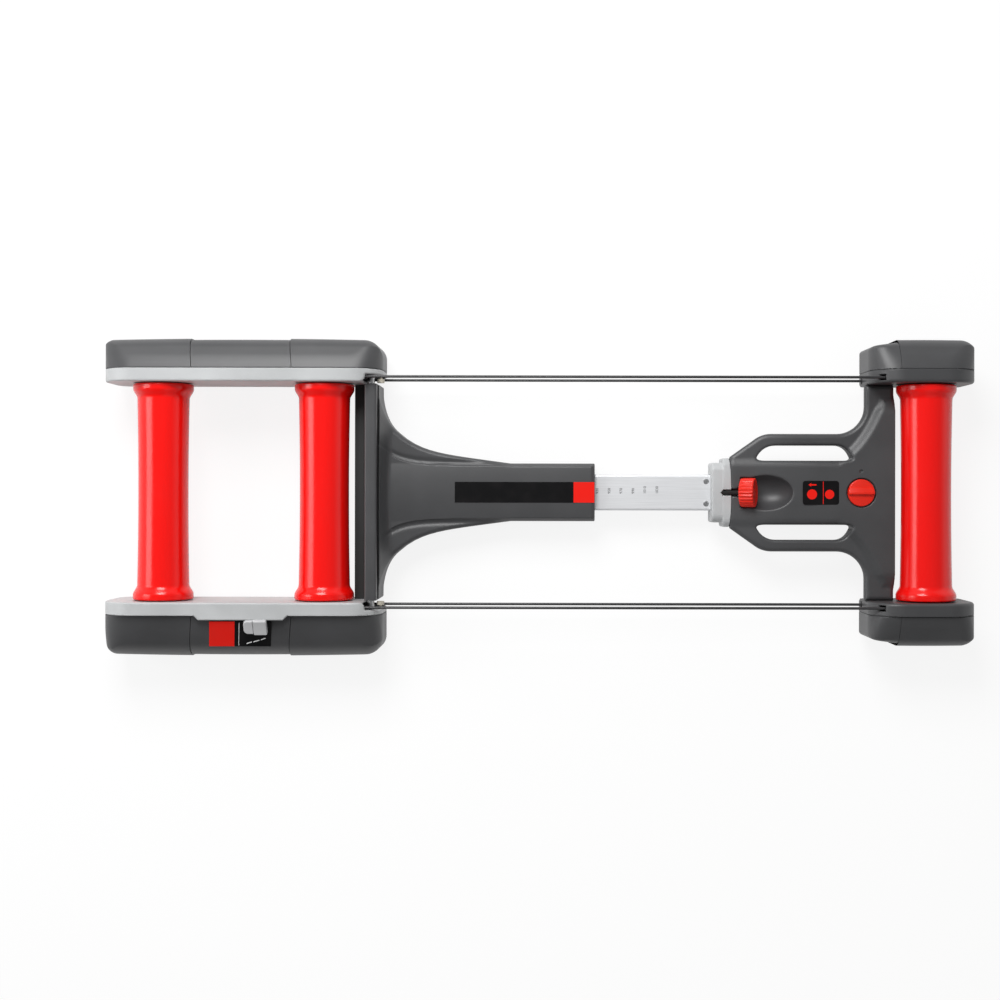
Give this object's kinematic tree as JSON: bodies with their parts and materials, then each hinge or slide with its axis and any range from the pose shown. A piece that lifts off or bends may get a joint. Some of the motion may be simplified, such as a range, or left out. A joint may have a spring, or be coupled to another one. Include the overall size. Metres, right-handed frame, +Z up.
{
  "type": "bike rollers",
  "caption": "Training rollers for a bicycle: three waisted drums, a telescoping beam, belts, and a rear carriage that floats on the beam and folds over it.",
  "frame": {"origin": "on the floor, under the middle of the whole footprint", "axes": "+X runs forward from the rear drums to the front drum, +Y is the rider's left, +Z is up"},
  "size_m": [1.42, 0.5196, 0.1467],
  "materials": {
    "red_drum": "glossy moulded plastic",
    "dark_plastic": "fine textured dark grey plastic",
    "grey_plastic": "satin light grey plastic",
    "red_plastic": "satin red plastic",
    "aluminium": "brushed and anodised",
    "steel": "zinc plated",
    "black_plastic": "black nylon",
    "black_label": "printed film",
    "red_label": "printed film",
    "rubber": "matt rubber",
    "white_plastic": "natural acetal",
    "beige_plastic": "natural nylon"
  },
  "bodies": {
    "front_frame": {"front_frame": "dark_plastic", "front_tray": "dark_plastic", "left_front_shell": "dark_plastic", "right_front_shell": "dark_plastic", "left_front_cover": "dark_plastic", "right_front_cover": "dark_plastic", "front_plates": "steel", "front_axle": "steel", "front_nuts": "steel", "front_screws": "steel", "front_feet": "rubber", "tube_collar": "grey_plastic", "tube_guides": "white_plastic", "selector_label": "black_label", "belts": "rubber"},
    "clamp_shoe": {"clamp_shoe": "steel"},
    "clamp_knob": {"clamp_knob": "red_plastic", "clamp_screw": "black_plastic"},
    "lock_knob": {"lock_knob": "red_plastic"},
    "lock_pin": {"lock_pin": "steel"},
    "beam": {"beam_tube": "aluminium", "beam_plugs": "black_plastic", "beam_rivets": "steel"},
    "arm": {"arm_shell": "dark_plastic", "arm_base": "dark_plastic", "hinge_beam": "dark_plastic", "arm_glides": "white_plastic", "arm_label": "black_label", "float_springs": "steel"},
    "rear_frame": {"left_rail_shell": "grey_plastic", "right_rail_shell": "grey_plastic", "left_rail_caps": "dark_plastic", "right_rail_caps": "dark_plastic", "left_middle_cover": "dark_plastic", "right_middle_cover": "dark_plastic", "rail_plates": "steel", "rear_axle": "steel", "middle_axle": "steel", "rear_nuts": "steel", "rear_screws": "steel", "hinge_pins": "steel", "belt_guides": "beige_plastic", "cross_tie": "dark_plastic", "wheel_pins": "steel", "resistance_label": "red_label"},
    "rear_roller": {"rear_drum": "red_drum", "rear_bearings": "steel"},
    "middle_roller": {"middle_drum": "red_drum", "middle_bearings": "steel", "middle_pulleys": "black_plastic", "brake_disc": "aluminium"},
    "front_roller": {"front_drum": "red_drum", "front_bearings": "steel", "front_pulleys": "black_plastic"},
    "resistance_slider": {"resistance_knob": "grey_plastic", "magnet_carriage": "dark_plastic"},
    "left_rear_wheel": {"left_rear_wheel": "rubber"},
    "right_rear_wheel": {"right_rear_wheel": "rubber"},
    "left_front_wheel": {"left_front_wheel": "rubber"},
    "right_front_wheel": {"right_front_wheel": "rubber"}
  },
  "joints": [
    {"name": "beam_slide", "type": "slide", "parent": "front_frame", "child": "beam", "axis": [1, 0, 0], "range_m": [0, 0.17], "deforming": ["belts"]},
    {"name": "arm_float", "type": "slide", "parent": "beam", "child": "arm", "axis": [1, 0, 0], "range_m": [-0.02, 0.02], "stiffness_N_per_m": 1500, "deforming": ["float_springs", "belts"]},
    {"name": "rear_fold", "type": "hinge", "parent": "arm", "child": "rear_frame", "pos_m": [-0.2765, 0.00975, 0.104], "axis": [0, 1, 0], "range_deg": [0, 180], "deforming": ["belts"]},
    {"name": "rear_roller_spin", "type": "hinge", "parent": "rear_frame", "child": "rear_roller", "pos_m": [-0.6185, 0.00975, 0.088], "axis": [0, 1, 0], "continuous": true},
    {"name": "middle_roller_spin", "type": "hinge", "parent": "rear_frame", "child": "middle_roller", "pos_m": [-0.3545, 0.00975, 0.088], "axis": [0, 1, 0], "continuous": true},
    {"name": "front_roller_spin", "type": "hinge", "parent": "front_frame", "child": "front_roller", "pos_m": [0.632, 0.00975, 0.088], "axis": [0, 1, 0], "continuous": true},
    {"name": "resistance_slide", "type": "slide", "parent": "rear_frame", "child": "resistance_slider", "axis": [1, 0, 0], "range_m": [-0.01, 0.01]},
    {"name": "lock_turn", "type": "hinge", "parent": "front_frame", "child": "lock_knob", "pos_m": [0.526, 0.00975, 0.09], "axis": [0, 0, 1], "range_deg": [0, 90]},
    {"name": "lock_pin_slide", "type": "slide", "parent": "front_frame", "child": "lock_pin", "axis": [0, 0, -1], "range_m": [0, 0.007]},
    {"name": "clamp_shoe_slide", "type": "slide", "parent": "front_frame", "child": "clamp_shoe", "axis": [0.9455, 0, 0.3256], "range_m": [0, 0.0025]},
    {"name": "clamp_turn", "type": "hinge", "parent": "clamp_shoe", "child": "clamp_knob", "pos_m": [0.3405, 0.00975, 0.084], "axis": [0.9455, 0, 0.3256], "range_deg": [0, 720]},
    {"name": "left_rear_wheel_spin", "type": "hinge", "parent": "rear_frame", "child": "left_rear_wheel", "pos_m": [-0.6665, 0.198, 0.016], "axis": [0, 1, 0], "continuous": true},
    {"name": "left_front_wheel_spin", "type": "hinge", "parent": "rear_frame", "child": "left_front_wheel", "pos_m": [-0.3065, 0.198, 0.016], "axis": [0, 1, 0], "continuous": true},
    {"name": "right_rear_wheel_spin", "type": "hinge", "parent": "rear_frame", "child": "right_rear_wheel", "pos_m": [-0.6665, -0.1785, 0.016], "axis": [0, 1, 0], "continuous": true},
    {"name": "right_front_wheel_spin", "type": "hinge", "parent": "rear_frame", "child": "right_front_wheel", "pos_m": [-0.3065, -0.1785, 0.016], "axis": [0, 1, 0], "continuous": true}
  ],
  "couplings": [
    {"joint": "front_roller_spin", "follows": "middle_roller_spin", "ratio": 1},
    {"joint": "lock_pin_slide", "follows": "lock_turn", "m_per_rad": 0.004456},
    {"joint": "clamp_shoe_slide", "follows": "clamp_turn", "m_per_rad": 0.000198}
  ]
}
